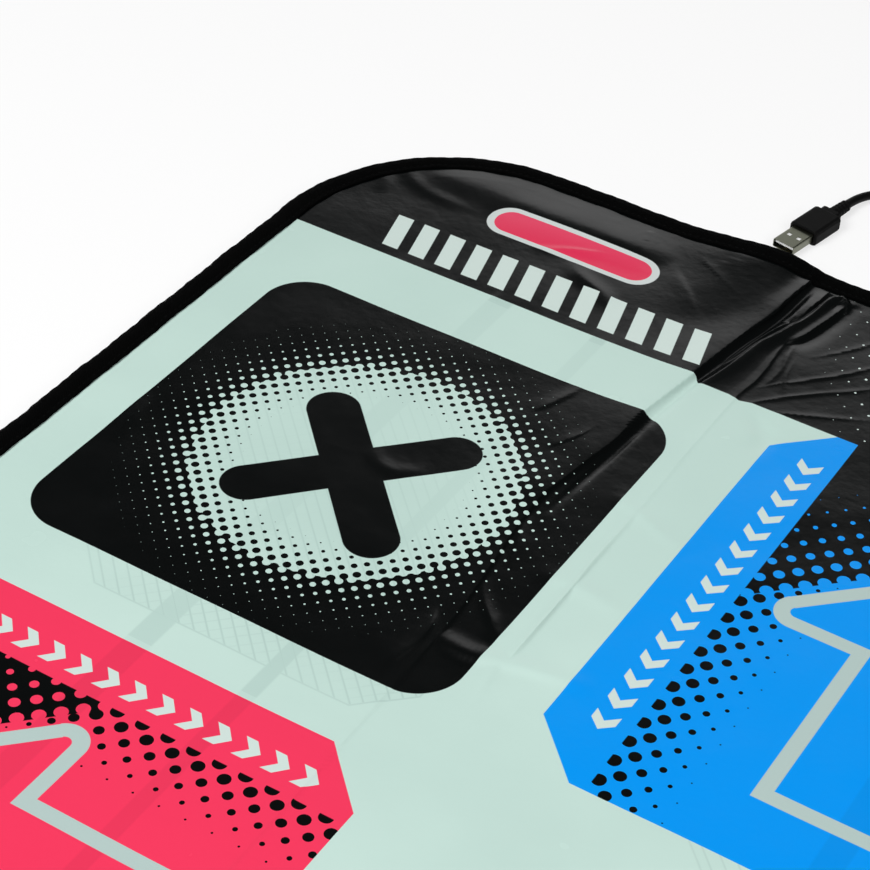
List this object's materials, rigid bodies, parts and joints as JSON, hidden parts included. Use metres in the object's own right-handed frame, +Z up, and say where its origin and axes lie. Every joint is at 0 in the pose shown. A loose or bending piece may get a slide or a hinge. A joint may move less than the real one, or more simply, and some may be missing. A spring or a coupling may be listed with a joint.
{
  "type": "dance mat controller",
  "caption": "Soft folding floor mat controller with printed step panels that press contact films together, a bound rim, a control box and a cord with a rectangular plug.",
  "frame": {"origin": "centre of the mat's underside, on the floor, without the control box, the cord and the plug", "axes": "+X to the player's right, +Y towards the top edge with the SELECT and START zones and the control box, +Z up"},
  "size_m": [0.82, 1.0386, 0.017],
  "materials": {
    "mint_cover": "satin embossed film",
    "black_print": "satin printed film",
    "blue_print": "satin printed film",
    "pink_print": "satin printed film",
    "bottom_fabric": "dotted non-slip cloth",
    "foam": "fine closed-cell foam",
    "circuit_film": "thin printed film",
    "binding_tape": "woven tape",
    "case_plastic": "fine spark-eroded texture",
    "steel": "zinc plated",
    "board": "solder mask",
    "chip_plastic": "moulded",
    "black_rubber": "moulded",
    "cord_jacket": "smooth soft jacket",
    "white_plastic": "moulded",
    "tie_strap": "woven strap",
    "plug_plastic": "moulded",
    "plated_shell": "nickel plated",
    "contact_gold": "plated"
  },
  "bodies": {
    "root": {"bottom_cover": "bottom_fabric", "base_foam": "foam", "spacer_foam": "foam", "lower_membrane": "circuit_film", "upper_membrane": "circuit_film", "top_cover": "mint_cover", "edge_binding": "binding_tape", "case_bottom": "case_plastic", "case_top": "case_plastic", "case_screw_1": "steel", "case_screw_2": "steel", "case_screw_3": "steel", "case_screw_4": "steel", "clamp_screw_1": "steel", "clamp_screw_2": "steel", "clock_crystal": "steel", "circuit_board": "board", "encoder_chip": "chip_plastic", "board_capacitor": "chip_plastic", "clamp_strip": "black_rubber", "cord_grommet": "black_rubber", "cord_stub": "cord_jacket", "cord_lead": "cord_jacket", "cord_coil": "cord_jacket", "cord_tail": "cord_jacket", "conductor_1": "cord_jacket", "conductor_2": "cord_jacket", "conductor_3": "cord_jacket", "conductor_4": "cord_jacket", "clamp_bar": "white_plastic", "plug_tongue": "white_plastic", "coil_tie": "tie_strap", "plug_body": "plug_plastic", "plug_relief": "plug_plastic", "plug_shell": "plated_shell", "plug_contact_1": "contact_gold", "plug_contact_2": "contact_gold", "plug_contact_3": "contact_gold", "plug_contact_4": "contact_gold"},
    "zone_cross": {"cover_cross": "black_print", "comb_film_cross": "circuit_film"},
    "zone_ring": {"cover_ring": "black_print", "comb_film_ring": "circuit_film"},
    "zone_plus": {"cover_plus": "black_print", "comb_film_plus": "circuit_film"},
    "zone_diamond": {"cover_diamond": "black_print", "comb_film_diamond": "circuit_film"},
    "zone_up": {"cover_up": "blue_print", "comb_film_up": "circuit_film"},
    "zone_down": {"cover_down": "blue_print", "comb_film_down": "circuit_film"},
    "zone_left": {"cover_left": "pink_print", "comb_film_left": "circuit_film"},
    "zone_right": {"cover_right": "pink_print", "comb_film_right": "circuit_film"},
    "zone_select": {"cover_select": "pink_print", "comb_film_select": "circuit_film"},
    "zone_start": {"cover_start": "pink_print", "comb_film_start": "circuit_film"}
  },
  "joints": [
    {"name": "press_cross", "type": "slide", "parent": "root", "child": "zone_cross", "axis": [0, 0, -1], "range_m": [0, 0.0023], "stiffness_N_per_m": 4000, "springref_m": -0.0005},
    {"name": "press_ring", "type": "slide", "parent": "root", "child": "zone_ring", "axis": [0, 0, -1], "range_m": [0, 0.0023], "stiffness_N_per_m": 4000, "springref_m": -0.0005},
    {"name": "press_plus", "type": "slide", "parent": "root", "child": "zone_plus", "axis": [0, 0, -1], "range_m": [0, 0.0023], "stiffness_N_per_m": 4000, "springref_m": -0.0005},
    {"name": "press_diamond", "type": "slide", "parent": "root", "child": "zone_diamond", "axis": [0, 0, -1], "range_m": [0, 0.0023], "stiffness_N_per_m": 4000, "springref_m": -0.0005},
    {"name": "press_up", "type": "slide", "parent": "root", "child": "zone_up", "axis": [0, 0, -1], "range_m": [0, 0.0023], "stiffness_N_per_m": 4000, "springref_m": -0.0005},
    {"name": "press_down", "type": "slide", "parent": "root", "child": "zone_down", "axis": [0, 0, -1], "range_m": [0, 0.0023], "stiffness_N_per_m": 4000, "springref_m": -0.0005},
    {"name": "press_left", "type": "slide", "parent": "root", "child": "zone_left", "axis": [0, 0, -1], "range_m": [0, 0.0023], "stiffness_N_per_m": 4000, "springref_m": -0.0005},
    {"name": "press_right", "type": "slide", "parent": "root", "child": "zone_right", "axis": [0, 0, -1], "range_m": [0, 0.0023], "stiffness_N_per_m": 4000, "springref_m": -0.0005},
    {"name": "press_select", "type": "slide", "parent": "root", "child": "zone_select", "axis": [0, 0, -1], "range_m": [0, 0.0023], "stiffness_N_per_m": 2000, "springref_m": -0.0005},
    {"name": "press_start", "type": "slide", "parent": "root", "child": "zone_start", "axis": [0, 0, -1], "range_m": [0, 0.0023], "stiffness_N_per_m": 2000, "springref_m": -0.0005}
  ]
}
